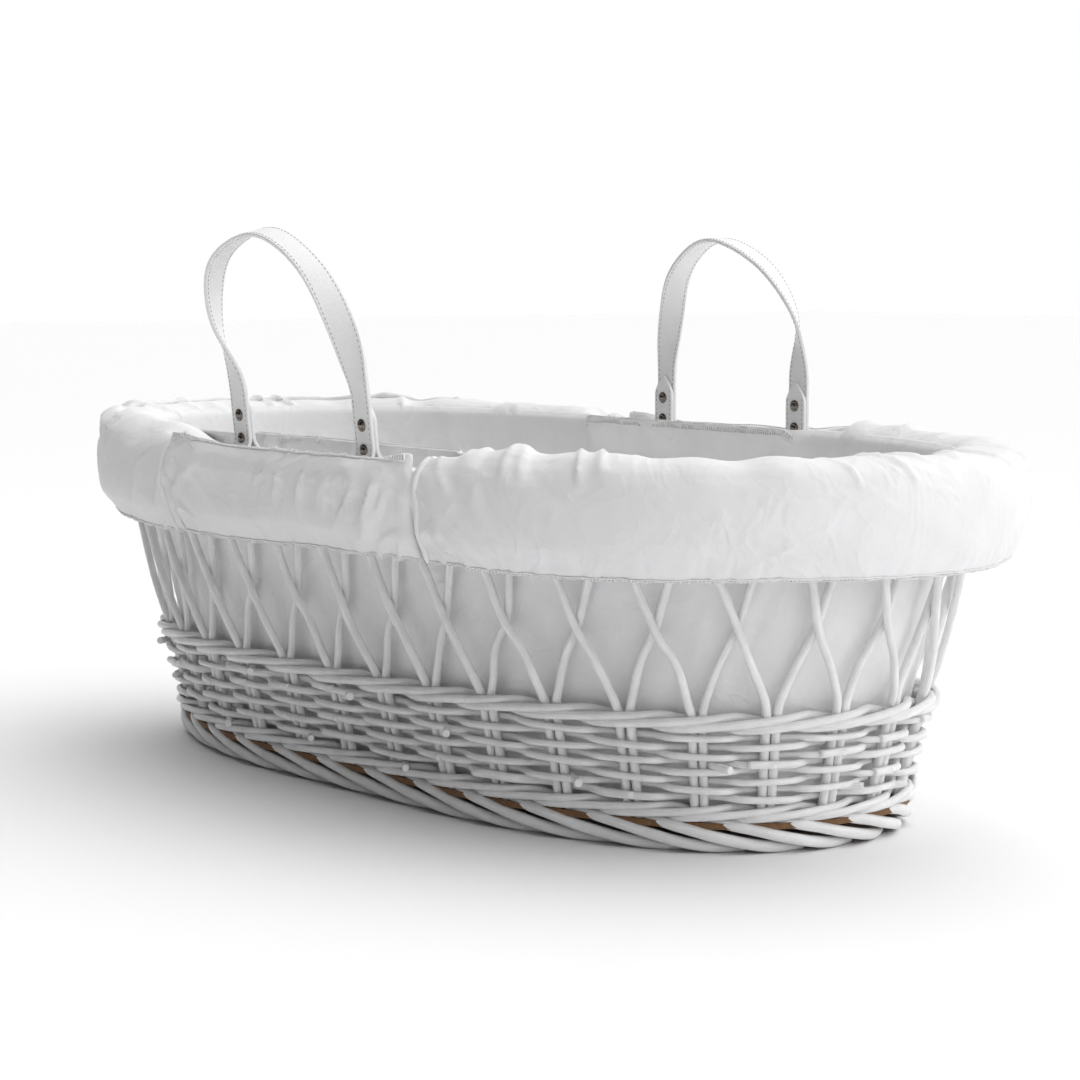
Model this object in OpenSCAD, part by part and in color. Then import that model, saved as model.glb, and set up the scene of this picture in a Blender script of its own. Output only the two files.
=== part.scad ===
// Moses basket: a white willow basket with crossed stakes, a padded cotton liner that folds over
// the rim, two strap handles looped round the rim, and a foam mattress.
// +X runs along the basket, +Z is up, and the origin is on the floor under the middle of the rim.

/* [Basket] */
// Length of the rim, end to end, on its centre line
rim_len = 806; // [740:1:880]
// Width of the rim on its centre line
rim_w = 396; // [370:1:450]
// Height of the rim's centre above the floor
rim_h = 236; // [205:1:285]
// How far the wall leans out from the floor to the rim
flare = 54; // [30:1:60]
// How much less than half the width the radius of the rounded ends is
end_ease = 28; // [15:1:45]

/* [Weave] */
// Number of stake pairs round the basket
pair_n = 34; // [26:2:40]
// Thickness of a stake
stake_d = 6; // [4:0.2:7]
// Distance between the two stakes of a pair, inside the weave
pair_gap = 8.6; // [7.5:0.1:12]
// Thickness of a weaver in the side rows
row_d = 5.2; // [4:0.1:5.6]
// Height from one side row to the next
row_pitch = 5.8; // [5.7:0.1:7]
// Number of side rows
row_n = 8; // [4:2:10]
// Thickness of the rods in the bands above and below the side rows
wale_d = 6.4; // [5:0.1:7]
// Height from the lower band up to the lowest side row
band_gap = 6.4; // [6:0.1:8]
// Height where the crossed stakes pass each other, above the top of the weave
cross_h = 55; // [40:1:65]

/* [Base] */
// Height of the rope border under the base board
foot_h = 17; // [12:0.5:22]
// Width of the rope border
foot_w = 17; // [14:0.5:22]
// Thickness of the base board
board_t = 4; // [3:0.5:6]
// Board left outside the stake holes
board_lip = 3.4; // [3:0.1:6]

/* [Rim] */
// Radius of the hoop that runs inside the rim
hoop_r = 8; // [7:0.5:9]
// Radius of the rods wrapped round the hoop
wrap_r = 12; // [11:0.5:13]

/* [Fabric] */
// Thickness of the padded cloth
pad_t = 6; // [4:0.5:8]
// Height of the cloth over the top of the rim wrap
roof_gap = 9; // [8:0.5:12]
// How far the skirt bulges out from the rim's centre
bulge = 32; // [30:0.5:38]
// Length of the skirt below the rim's centre
skirt_drop = 55; // [45:1:70]
// Gap between the handle straps and the free edges of the cloth, at the rim's height
slot_gap = 24; // [23:0.5:28]
// End of the near handle slot towards +X
near_slot_foot = 170; // [140:1:190]
// End of the near handle slot towards -X
near_slot_head = -116; // [-150:1:-105]
// End of each far handle slot, either way from the middle
far_slot = 134; // [128:1:160]
// Width of the raised seam at each end of a slot
seam_w = 4; // [2:0.5:5]

/* [Handles] */
// Width of a strap
strap_w = 20; // [18:0.5:26]
// Thickness of one ply of strap
strap_t = 3; // [2:0.1:3.5]
// Distance between the two legs of a handle
leg_gap = 152; // [120:1:156]
// Shift of both handles from the middle towards +X
handle_shift = 17; // [0:1:18]
// Height of the near hoop above the line where the strap folds
near_hoop_h = 110; // [80:1:130]
// Height of the far hoop above the line where the strap folds
far_hoop_h = 103; // [80:1:130]
// Height of the lower rivet above the rim's centre
rivet_low = 17.5; // [17:0.5:24]
// Height from the lower rivet to the upper one
rivet_gap = 17; // [14:0.5:22]
// Radius of a rivet's shank
shank_r = 2; // [1.5:0.1:2.5]
// Radius of a rivet's domed head
head_r = 4.4; // [3.5:0.1:5]
// Outward tilt of the near handle's riveted legs at rest
near_tilt = 6; // [0:1:10]
// Further outward lean of the near handle's hoop at rest
near_lean = 7; // [0:1:12]
// Outward tilt of the far handle's riveted legs at rest
far_tilt = 0; // [0:1:10]
// Further outward lean of the far handle's hoop at rest
far_lean = 0; // [0:1:12]

/* [Mattress] */
// Thickness of the mattress
mattress_t = 30; // [20:1:45]
// Thickness of the mattress cover
cover_t = 1.2; // [1:0.1:3]
// Gap between the mattress and the liner
mattress_gap = 3; // [2:0.5:10]

/* [Hidden] */
$fn = 64;
hoop_fit = 0.06;      // radial gap between the rim hoop and the strap loops
part_fit = 0.3;       // gap between pieces that only touch
slip = 0.05;          // gap between pieces that bear on each other
big = 2000;

half_len = rim_len / 2;
half_w = rim_w / 2;
end_r = half_w - end_ease;
// The sides stay straight this far out: past the handles, and further on a long rim
handle_reach = max(handle_shift + leg_gap / 2 + strap_w / 2 + 3, half_len - end_r - 4.6 * end_ease);
end_turn = floor((90 - 2 * atan(end_ease / (half_len - end_r - handle_reach))) * 100) / 100;
side_r = end_r + end_ease / (1 - sin(end_turn));
side_y = side_r - half_w;                       // the side arcs' centres lie this far past the middle
end_reach = (side_r - end_r) * cos(end_turn);
straight = round((half_len - end_r - end_reach) * 100) / 100;   // half of each side's straight stretch
end_x = straight + end_reach;                   // centre of each end arc
end_run = end_r * end_turn * PI / 180;
side_run = side_r * (90 - end_turn) * PI / 180;
quarter = end_run + side_run + straight;
pitch = 4 * quarter / pair_n;

board_z = foot_h + board_t;
wale_low_z = board_z + wale_d * 0.55;           // lower band: two rods, one on the other
row_low_z = wale_low_z + wale_d + band_gap;
row_top_z = row_low_z + (row_n - 1) * row_pitch;
wale_top_z = row_top_z + band_gap;              // upper band
weave_top = wale_top_z + wale_d * 1.5;
rod_out = (stake_d + row_d) / 2 + slip;         // from the stakes to the side rows
wale_out = (stake_d + wale_d) / 2 + slip;
rim_wale_z = rim_h - wrap_r - wale_d / 2 - 1;
stake_foot = foot_h + slip;
stake_head = rim_h - wrap_r - slip;
stake_layer = stake_d / 2 + 0.2;                // crossed stakes step this far in and out

liner_in = max(row_d, wale_d) + stake_d / 2 + part_fit;   // wall's centre to the liner
liner_low = board_z + slip;
liner_bend = rim_h - 26;                        // the liner leaves the wall here to clear the rim
liner_top = rim_h + 4;
floor_top = liner_low + pad_t - 2;
cloth_top = rim_h + wrap_r + roof_gap;
hem_z = rim_h - skirt_drop;
flap_top = rim_h + 18;

pivot_r = hoop_r + hoop_fit;
fold_h = rivet_low + rivet_gap + 20.5;          // the strap folds here, above the rim's centre
tip_h = fold_h - 3;
hoop_start = strap_t / 2 + 0.5;                 // keeps the two sides of a fold clear of each other
head_h = 2.4;
// A strap's way over the hoop as [share of half the leg gap, share of the height, turn in degrees]:
// at a turn of 0 the strap faces out from the basket, at 90 away from the middle of the hoop
near_way = [[-1, 0, 0], [-1, 0.05, 2], [-1.15, 0.42, 55], [-0.88, 0.82, 85], [-0.05, 1, 90],
    [0.6, 0.78, 88], [0.92, 0.38, 50], [1, 0.05, 2], [1, 0, 0]];
far_way = [[-1, 0, 0], [-1, 0.05, 2], [-0.95, 0.35, 35], [-0.8, 0.76, 78], [-0.28, 1, 90],
    [0.46, 0.82, 88], [0.93, 0.44, 56], [1, 0.05, 2], [1, 0, 0]];
leg_x = [handle_shift - leg_gap / 2, handle_shift + leg_gap / 2];
bed_low = floor_top + slip;

// ---- The oval: straight sides, side arcs and end arcs that all run into each other ----

// How far the wall's centre lies from the rim's centre line at height z (outwards is positive)
function wall(z) = -flare * (1 - z / rim_h);

// A point in the first quarter, run along the rim from the +X end, as [x, y, normal x, normal y]
function quarter_point(run) =
    run < end_run
    ? let (a = run / end_r * 180 / PI)
        [end_x + end_r * cos(a), end_r * sin(a), cos(a), sin(a)]
    : run < end_run + side_run
    ? let (a = end_turn + (run - end_run) / side_r * 180 / PI)
        [straight + side_r * cos(a), side_r * sin(a) - side_y, cos(a), sin(a)]
    : [quarter - run, half_w, 0, 1];

// The same for any run round the rim, anticlockwise seen from above
function oval_point(run) =
    let (lap = run - 4 * quarter * floor(run / (4 * quarter)), q = floor(lap / quarter),
        back = q % 2 == 1, p = quarter_point(back ? (q + 1) * quarter - lap : lap - q * quarter),
        sx = q == 1 || q == 2 ? -1 : 1, sy = q > 1 ? -1 : 1)
    [p[0] * sx, p[1] * sy, p[2] * sx, p[3] * sy];

// A point in space: run round the rim, out from the rim's centre line, up to z
function on_oval(run, out, z) =
    let (p = oval_point(run)) [p[0] + p[2] * out, p[1] + p[3] * out, z];

// Moves by hundredths first and then by the rest, so that neighbouring stretches meet exactly
module place(v) {
    coarse = [for (c = v) round(c * 100) / 100];
    translate(coarse) translate(v - coarse) children();
}

// Sweeps a profile (x outwards from the rim's centre line, y up) round the whole oval
module oval_sweep() {
    for (turn = [0, 180]) rotate([0, 0, turn]) {
        for (flip = [0, 1]) mirror([flip, 0, 0]) {
            place([0, half_w, 0]) rotate([90, 0, 90]) linear_extrude(straight) children();
            place([straight, -side_y, 0]) rotate_extrude(angle = 90 - end_turn, start = end_turn)
                place([side_r, 0]) children();
        }
        place([end_x, 0, 0]) rotate_extrude(angle = 2 * end_turn, start = -end_turn)
            place([end_r, 0]) children();
    }
}

// A flat oval plate whose edge lies this far out from the rim's centre line
module oval_plate(out, low, high) {
    band = 40;
    oval_sweep() translate([out - band, low]) square([band, high - low]);
    translate([0, 0, low]) linear_extrude(high - low)
        polygon([for (i = [0:71]) let (p = on_oval(i * quarter / 18, out - band / 2, 0)) [p[0], p[1]]]);
}

// One round rod run right round the wall, out from its centre at height z
module ring_rod(out, z, r) {
    oval_sweep() translate([wall(z) + out, z]) circle(r = r);
}

// A block that takes in everything on one side (+1 far, -1 near) between two x values
module side_block(side, x0, x1, low = -big) {
    translate([x0, side > 0 ? 0 : -big, low]) cube([x1 - x0, big, 2 * big]);
}

// ---- Swept rods and straps ----

function unit(v) = v / norm(v);
function ahead(path, i) = unit(path[min(i + 1, len(path) - 1)] - path[max(i - 1, 0)]);

// Joins rings of points, all of one length, into a closed solid
module skin(rings) {
    m = len(rings[0]);
    n = len(rings);
    polyhedron(points = [for (r = rings) each r], convexity = 6, faces = [
        for (i = [0:n - 2]) for (j = [0:m - 1]) for (half = [0, 1]) let (k = (j + 1) % m)
            half == 0 ? [i * m + j, i * m + k, (i + 1) * m + k]
                      : [i * m + j, (i + 1) * m + k, (i + 1) * m + j],
        [for (j = [m - 1:-1:0]) j], [for (j = [0:m - 1]) (n - 1) * m + j]]);
}

// A stake: lean is -1 for one that leans left seen from outside and +1 for one that leans right
module stake(run, lean) {
    sides = 8;
    across = pair_gap / 2;
    pass = weave_top + cross_h;
    stops = [
        [across, stake_foot, 0], [across, weave_top - 4, 0], [across + 1, weave_top, 0.25],
        [across + 3.2, weave_top + 10, 0.7], [pitch / 2, pass, 1],
        [pitch - across + 1.9, rim_wale_z - 14, 0.7],
        [pitch - across, rim_wale_z - 4, 0], [pitch - across, stake_head, 0]];
    path = [for (s = stops) on_oval(run + lean * s[0], wall(s[1]) - lean * stake_layer * s[2], s[1])];
    out = [for (s = stops) let (p = oval_point(run + lean * s[0])) [p[2], p[3], 0]];
    skin([for (i = [0:len(path) - 1])
        let (t = ahead(path, i), u = unit(cross(t, out[i])), v = cross(u, t))
        [for (j = [0:sides - 1]) let (a = 360 * (j + 0.5) / sides)
            path[i] + stake_d / 2 * (cos(a) * v + sin(a) * u)]]);
}

module stakes(lean) {
    for (i = [0:pair_n - 1]) stake((i + 0.5) * pitch, lean);
}

// ---- Cloth profiles, x outwards from the rim's centre line, y up ----

hem_out = bulge - 14;
// The skirt's outer face, from the widest point down to the hem
function skirt_face(out) = [
    [bulge + out, rim_h], [bulge - 0.5 + out, rim_h - skirt_drop * 0.24],
    [bulge - 3 + out, rim_h - skirt_drop * 0.5], [bulge - 8 + out, rim_h - skirt_drop * 0.76],
    [hem_out + out, hem_z]];
function back_to_front(list) = [for (i = [len(list) - 1:-1:0]) list[i]];

module skirt_profile() {
    inner = wrap_r + 1;
    polygon(concat(
        [[-inner - pad_t - 1, liner_top + slip], [-inner - pad_t, rim_h + wrap_r + 1],
            [-inner, cloth_top - 3], [-inner + 7, cloth_top], [6, cloth_top - 0.5],
            [bulge - 10, cloth_top - 5], [bulge - 3, rim_h + 10]],
        skirt_face(0), back_to_front(skirt_face(-pad_t)),
        [[bulge - pad_t - 4, rim_h + 9], [inner, rim_h + wrap_r], [5, rim_h + wrap_r + 2.5],
            [-5, rim_h + wrap_r + 2.5], [-inner, rim_h + wrap_r - 3], [-inner, liner_top + slip]]));
}

module flap_profile() {
    polygon(concat(
        [[slot_gap + pad_t, flap_top - 2], [bulge - 1, rim_h + 10]],
        skirt_face(0), back_to_front(skirt_face(-pad_t)), [[slot_gap, flap_top]]));
}

module seam_profile() {
    proud = 2.5;
    polygon(concat(skirt_face(slip), back_to_front(skirt_face(proud))));
}

module liner_profile() {
    inner = wrap_r + 1;
    polygon([
        [wall(liner_low) - liner_in, liner_low], [wall(liner_bend) - liner_in, liner_bend],
        [-inner, rim_h - wrap_r], [-inner, liner_top], [-inner - pad_t - 1, liner_top],
        [-inner - pad_t - 1, rim_h - wrap_r], [wall(liner_bend) - liner_in - pad_t, liner_bend],
        [wall(liner_low) - liner_in - pad_t, liner_low]]);
}

// The free lip of the liner behind a handle slot, which leans in to clear the straps
module lip_profile() {
    polygon([
        [wall(liner_bend) - liner_in, liner_bend], [-slot_gap + 5, rim_h - 1],
        [-slot_gap - 1, flap_top + 1], [-slot_gap - 1 - pad_t, flap_top + 1],
        [-slot_gap + 3 - pad_t, rim_h - 4], [wall(liner_bend) - liner_in - pad_t, liner_bend]]);
}

// The stretch of each side that has a handle slot
module slot_block(side, low = -big) {
    if (side > 0) side_block(1, -far_slot, far_slot, low);
    else side_block(-1, near_slot_head, near_slot_foot, low);
}

// ---- Woven parts ----

module base_board() {
    hole_r = stake_d / 2 + 0.15;
    edge = wall(foot_h) + stake_d / 2 + board_lip;
    color("saddlebrown") difference() {
        oval_plate(edge, foot_h, board_z);
        for (i = [0:pair_n - 1]) for (side = [-1, 1])
            translate(on_oval((i + 0.5) * pitch + side * pair_gap / 2,
                    wall(foot_h + board_t / 2), foot_h - 1))
                cylinder(h = board_t + 2, r = hole_r, $fn = 32);
    }
}

module foot_border() {
    c = 4;
    w = foot_w / 2;
    color("white") oval_sweep() translate([wall(0) + 1, 0]) polygon([
        [-w + c, 0], [w - c, 0], [w, c], [w, foot_h - c], [w - c, foot_h], [-w + c, foot_h],
        [-w, foot_h - c], [-w, c]]);
}

module band(z) {
    for (lift = [0, wale_d]) for (side = [-1, 1])
        ring_rod(side * wale_out, z + lift + (lift > 0 ? slip : 0), wale_d / 2);
}

module lower_wale() {
    color("white") band(wale_low_z);
}

module siding_outer_rows() {
    color("white") for (i = [0:2:row_n - 1]) ring_rod(rod_out, row_low_z + i * row_pitch, row_d / 2);
}

module siding_inner_rows() {
    color("white") for (i = [1:2:row_n - 1]) ring_rod(-rod_out, row_low_z + i * row_pitch, row_d / 2);
}

module top_wale() {
    color("white") band(wale_top_z);
}

module left_leaning_stakes() {
    color("white") stakes(-1);
}

module right_leaning_stakes() {
    color("white") stakes(1);
}

module rim_wale() {
    color("white") for (side = [-1, 1]) ring_rod(side * wale_out, rim_wale_z, wale_d / 2);
}

module rim_hoop() {
    color("white") oval_sweep() translate([0, rim_h]) circle(r = hoop_r);
}

module rim_wrap() {
    gap = strap_w + 2;
    color("white") difference() {
        oval_sweep() translate([0, rim_h]) difference() {
            circle(r = wrap_r);
            circle(r = hoop_r + slip);
        }
        for (side = [-1, 1]) for (x = leg_x) side_block(side, x - gap / 2, x + gap / 2);
    }
}

// ---- Cloth parts ----

module liner_wall() {
    color("whitesmoke") {
        difference() {
            oval_sweep() liner_profile();
            for (side = [-1, 1]) slot_block(side, liner_bend);
        }
        for (side = [-1, 1]) intersection() {
            oval_sweep() lip_profile();
            slot_block(side);
        }
    }
}

module liner_floor() {
    color("whitesmoke") oval_plate(wall(floor_top) - liner_in - pad_t - 1, liner_low, floor_top);
}

// The end skirts stop at the slots and at the middle of the basket
module end_skirt(end) {
    color("whitesmoke") intersection() {
        difference() {
            oval_sweep() skirt_profile();
            for (side = [-1, 1]) slot_block(side);
        }
        translate([end > 0 ? 0 : -big, -big / 2, 0]) cube([big, big, big]);
    }
}

module head_skirt() {
    end_skirt(-1);
}

module foot_skirt() {
    end_skirt(1);
}

module flap(side) {
    color("whitesmoke") intersection() {
        oval_sweep() flap_profile();
        slot_block(side);
    }
}

module near_flap() {
    flap(-1);
}

module far_flap() {
    flap(1);
}

module slot_seams() {
    ends = [[-1, near_slot_head], [-1, near_slot_foot], [1, -far_slot], [1, far_slot]];
    color("white") for (e = ends) intersection() {
        oval_sweep() seam_profile();
        side_block(e[0], e[1] - seam_w / 2, e[1] + seam_w / 2);
    }
}

// ---- Mattress ----

bed_out = wall(bed_low) - liner_in - pad_t - mattress_gap;

module mattress_core() {
    fit = cover_t + slip;
    color("ivory") oval_plate(bed_out - fit, bed_low + fit, bed_low + mattress_t - fit);
}

module mattress_cover() {
    color("white") difference() {
        oval_plate(bed_out, bed_low, bed_low + mattress_t);
        oval_plate(bed_out - cover_t, bed_low + cover_t, bed_low + mattress_t - cover_t);
    }
}

// ---- Handles: each leg's strap goes down outside the rim, round it and up inside to a point ----

// Stands what is drawn for the far side (y outwards from the rim's centre) on one side of the basket
module on_side(side, tilt) {
    mirror([0, side > 0 ? 0 : 1, 0]) translate([0, half_w, rim_h]) rotate([-tilt, 0, 0]) children();
}

module at_rivets() {
    for (x = leg_x) for (h = [rivet_low, rivet_low + rivet_gap]) translate([x, 0, h])
        rotate([-90, 0, 0]) children();
}

// The strap's cross-section where it goes round the rim, with the two plies above
module loop_profile() {
    r = pivot_r + strap_t;
    difference() {
        union() {
            circle(r = r);
            polygon([[-r * 0.87, r * 0.5], [r * 0.87, r * 0.5], [strap_t, rivet_low - head_r],
                [strap_t, fold_h], [0, fold_h], [0, rivet_low], [-strap_t, rivet_low],
                [-strap_t, rivet_low - head_r]]);
        }
        circle(r = pivot_r);
    }
}

module strap_loops(side, tilt) {
    point = strap_w * 0.55;
    color("white") on_side(side, tilt) difference() {
        for (x = leg_x) {
            translate([x - strap_w / 2, 0, 0]) rotate([90, 0, 90]) linear_extrude(strap_w) loop_profile();
            translate([x, 0, 0]) rotate([90, 0, 0]) linear_extrude(strap_t) polygon([
                [-strap_w / 2, rivet_low - head_r], [strap_w / 2, rivet_low - head_r],
                [strap_w / 2, tip_h - point], [strap_w * 0.12, tip_h - 1], [0, tip_h],
                [-strap_w * 0.12, tip_h - 1], [-strap_w / 2, tip_h - point]]);
        }
        at_rivets() translate([0, 0, -big / 2]) cylinder(h = big, r = shank_r + slip);
    }
}

module dome() {
    ball = (head_r * head_r + head_h * head_h) / (2 * head_h);
    intersection() {
        translate([0, 0, head_h - ball]) sphere(r = ball);
        cylinder(h = head_h + 1, r = head_r + 1);
    }
}

module rivet_heads(side, tilt) {
    color("silver") on_side(side, tilt) at_rivets() {
        translate([0, 0, strap_t + slip]) dome();
        translate([0, 0, -strap_t - 1]) cylinder(h = 2 * strap_t + 1.5, r = shank_r);
    }
}

module rivet_caps(side, tilt) {
    color("silver") on_side(side, tilt) at_rivets() difference() {
        mirror([0, 0, 1]) translate([0, 0, strap_t + slip]) dome();
        translate([0, 0, -strap_t - 1 - slip]) cylinder(h = big, r = shank_r + slip);
    }
}

// A smooth curve through every point of a list, passed through one stretch after another
function smooth(way, t) =
    let (n = len(way) - 1, i = min(floor(t), n - 1), u = t - i, a = way[i], b = way[i + 1],
        before = i > 0 ? way[i - 1] : 2 * a - b, after = i < n - 1 ? way[i + 2] : 2 * b - a)
    a + u / 2 * ((b - before) + u * ((2 * before - 5 * a + 4 * b - after)
        + u * (3 * a - before - 3 * b + after)));

// The strap faces out from the basket at its legs and turns to face up at the top
module strap_hoop(side, tilt, lean, way, height) {
    steps = 5;
    n = steps * (len(way) - 1);
    scaled = [for (w = way) [w[0] * leg_gap / 2, w[1] * height, w[2]]];
    stops = [for (i = [0:n]) smooth(scaled, i / steps)];
    centre = [for (s = stops) [s[0], 0, s[1]]];
    rings = [for (i = [0:n]) let (
        t = ahead(centre, i), up = unit(cross(t, [0, 1, 0])), turn = stops[i][2],
        face = cos(turn) * [0, 1, 0] + sin(turn) * up,
        across = unit(cross(t, face)), w = strap_w / 2 * across, h = strap_t / 2 * face,
        p = centre[i] + [0, 0, hoop_start])
        [p - w - h, p + w - h, p + w + h, p - w + h]];
    color("white") on_side(side, tilt) translate([handle_shift, strap_t / 2, fold_h])
        rotate([-lean, 0, 0]) skin(rings);
}

module near_strap_loops() { strap_loops(-1, near_tilt); }
module near_rivet_heads() { rivet_heads(-1, near_tilt); }
module near_rivet_caps() { rivet_caps(-1, near_tilt); }
module near_strap_hoop() { strap_hoop(-1, near_tilt, near_lean, near_way, near_hoop_h); }
module far_strap_loops() { strap_loops(1, far_tilt); }
module far_rivet_heads() { rivet_heads(1, far_tilt); }
module far_rivet_caps() { rivet_caps(1, far_tilt); }
module far_strap_hoop() { strap_hoop(1, far_tilt, far_lean, far_way, far_hoop_h); }

base_board();
foot_border();
lower_wale();
siding_outer_rows();
siding_inner_rows();
top_wale();
left_leaning_stakes();
right_leaning_stakes();
rim_wale();
rim_hoop();
rim_wrap();
liner_wall();
liner_floor();
head_skirt();
foot_skirt();
near_flap();
far_flap();
slot_seams();
mattress_core();
mattress_cover();
near_strap_loops();
near_rivet_heads();
near_rivet_caps();
near_strap_hoop();
far_strap_loops();
far_rivet_heads();
far_rivet_caps();
far_strap_hoop();
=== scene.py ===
import math
import bpy
import bmesh
import numpy as np
from mathutils import Euler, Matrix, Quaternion, Vector
from mathutils.bvhtree import BVHTree


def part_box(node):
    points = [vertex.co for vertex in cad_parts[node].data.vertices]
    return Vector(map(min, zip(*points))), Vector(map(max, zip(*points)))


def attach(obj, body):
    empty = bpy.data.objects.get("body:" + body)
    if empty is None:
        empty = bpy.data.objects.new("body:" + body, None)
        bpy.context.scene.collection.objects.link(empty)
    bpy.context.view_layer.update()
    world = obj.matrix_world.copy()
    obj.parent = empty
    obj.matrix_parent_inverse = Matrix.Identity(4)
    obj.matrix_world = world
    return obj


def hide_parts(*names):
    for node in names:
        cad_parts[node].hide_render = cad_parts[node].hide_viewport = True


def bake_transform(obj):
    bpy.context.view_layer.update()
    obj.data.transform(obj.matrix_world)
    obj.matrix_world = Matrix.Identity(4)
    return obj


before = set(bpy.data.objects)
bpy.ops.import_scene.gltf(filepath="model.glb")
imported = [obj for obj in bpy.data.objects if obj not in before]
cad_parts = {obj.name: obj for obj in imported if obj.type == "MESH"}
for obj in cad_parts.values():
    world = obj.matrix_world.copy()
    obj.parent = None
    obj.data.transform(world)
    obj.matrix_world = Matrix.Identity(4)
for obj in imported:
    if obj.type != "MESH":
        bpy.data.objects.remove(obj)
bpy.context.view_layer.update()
mm = 0.001
print("frame loaded")

# ---- The oval that the whole basket follows, from the CAD rim and foot ----

wrapR = 0.012
rimLow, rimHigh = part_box("rim_wrap")
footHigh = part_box("foot_border")[1]
oval = {
    "halfLen": rimHigh.x - wrapR,
    "halfW": rimHigh.y - wrapR,
    "rimH": rimHigh.z - wrapR,
    "endEase": 0.028,           # half the width less the radius of the rounded ends
    "handleReach": 0.106,       # the sides stay straight this far from the middle
    "flare": rimHigh.y - wrapR - (footHigh.y - 0.0095),
    "pairs": 34,
}
halfLen, halfW, rimH = oval["halfLen"], oval["halfW"], oval["rimH"]
endR = halfW - oval["endEase"]
endTurn = math.pi / 2 - 2 * math.atan(oval["endEase"] / (halfLen - endR - oval["handleReach"]))
sideR = endR + oval["endEase"] / (1 - math.sin(endTurn))
sideY = sideR - halfW
endReach = (sideR - endR) * math.cos(endTurn)
straight = halfLen - endR - endReach
endX = straight + endReach
endRun = endR * endTurn
sideRun = sideR * (math.pi / 2 - endTurn)
quarter = endRun + sideRun + straight
lapRun = 4 * quarter
pitch = lapRun / oval["pairs"]


def wall(z):
    # how far the wall's centre lies from the rim's centre line at height z
    return -oval["flare"] * (1 - z / rimH)


def ovalPoint(run):
    # straight side, side arc and end arc, one after another, mirrored into the four quarters
    run = np.mod(np.asarray(run, float), lapRun)
    q = np.minimum(np.floor(run / quarter).astype(int), 3)
    s = np.where(q % 2 == 1, (q + 1) * quarter - run, run - q * quarter)
    onEnd = s < endRun
    onSide = ~onEnd & (s < endRun + sideRun)
    a = np.where(onEnd, s / endR, np.where(onSide, endTurn + (s - endRun) / sideR, math.pi / 2))
    x = np.where(onEnd, endX + endR * np.cos(a),
                 np.where(onSide, straight + sideR * np.cos(a), quarter - s))
    y = np.where(onEnd, endR * np.sin(a), np.where(onSide, sideR * np.sin(a) - sideY, halfW))
    sx = np.where((q == 1) | (q == 2), -1, 1)
    sy = np.where(q > 1, -1, 1)
    return x * sx, y * sy, np.cos(a) * sx, np.sin(a) * sy


def onOval(run, out, z):
    # the rim's centre line, moved out along its normal and set at height z
    x, y, nx, ny = ovalPoint(run)
    return np.stack(np.broadcast_arrays(x + nx * out, y + ny * out, z), -1)


def outwards(run):
    x, y, nx, ny = ovalPoint(run)
    return np.stack([nx, ny, np.zeros_like(nx)], -1)


tableRun = np.linspace(0, lapRun, 4001)
tableX, tableY, tableNx, tableNy = ovalPoint(tableRun)


def runAtX(x, side):
    # the run whose point has this x, on the far side (+1) or the near side (-1)
    half = tableRun < 2 * quarter if side > 0 else tableRun >= 2 * quarter
    order = np.argsort(tableX[half])
    return float(np.interp(x, tableX[half][order], tableRun[half][order]))


def unrollOval(points):
    # each point's nearest run and its distance out from the rim's centre line
    best = np.empty(len(points), int)
    for first in range(0, len(points), 4000):
        part = points[first:first + 4000]
        gap = (part[:, 0:1] - tableX) ** 2 + (part[:, 1:2] - tableY) ** 2
        best[first:first + 4000] = gap.argmin(1)
    out = (points[:, 0] - tableX[best]) * tableNx[best] + (points[:, 1] - tableY[best]) * tableNy[best]
    return tableRun[best], out


# ---- Helpers ----

def valueNoise(u, v, seed):
    # random heights on a whole-number lattice, eased from one to the next, from -1 to 1
    table = np.random.default_rng(seed).uniform(-1, 1, (64, 64))
    iu, iv = np.floor(u).astype(int), np.floor(v).astype(int)
    fu, fv = u - iu, v - iv
    fu, fv = fu * fu * (3 - 2 * fu), fv * fv * (3 - 2 * fv)
    a, b = table[iu % 64, iv % 64], table[(iu + 1) % 64, iv % 64]
    c, d = table[iu % 64, (iv + 1) % 64], table[(iu + 1) % 64, (iv + 1) % 64]
    return (a * (1 - fu) + b * fu) * (1 - fv) + (c * (1 - fu) + d * fu) * fv


def streaks(u, v, angle, long, short, seed):
    # noise drawn out along a direction in the cloth's own plane, as folds and creases are
    c, s = math.cos(angle), math.sin(angle)
    return valueNoise((u * c + v * s) / long, (v * c - u * s) / short, seed)


def crisp(noise, width):
    # thin raised lines where the noise crosses zero, as creases in pressed cotton
    return np.exp(-(noise / width) ** 2)


def ease(x, low, high):
    t = np.clip((x - low) / (high - low), 0, 1)
    return t * t * (3 - 2 * t)


def smoothThrough(keys, steps):
    # a Catmull-Rom curve through every key
    keys = np.asarray(keys, float)
    a, b = keys[:-1], keys[1:]
    before = np.vstack([2 * keys[0] - keys[1], keys[:-2]])
    after = np.vstack([keys[2:], 2 * keys[-1] - keys[-2]])
    u = (np.arange(steps) / steps)[None, :, None]
    a, b, before, after = (k[:, None, :] for k in (a, b, before, after))
    path = a + u / 2 * ((b - before) + u * ((2 * before - 5 * a + 4 * b - after)
                                            + u * (3 * a - before - 3 * b + after)))
    return np.vstack([path.reshape(-1, keys.shape[1]), keys[-1:]])


def evenly(path, count):
    # the same path with its points at even distances
    along = lengthAlong(path)
    return sampleAlong(path, np.linspace(0, along[-1], count), along)


def smoothAlong(path, window):
    # each column averaged under the window, with the ends held
    reach = len(window) // 2
    padded = np.pad(path, ((reach, reach), (0, 0)), mode="edge")
    return np.stack([np.convolve(column, window, "valid") for column in padded.T], -1)


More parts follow.
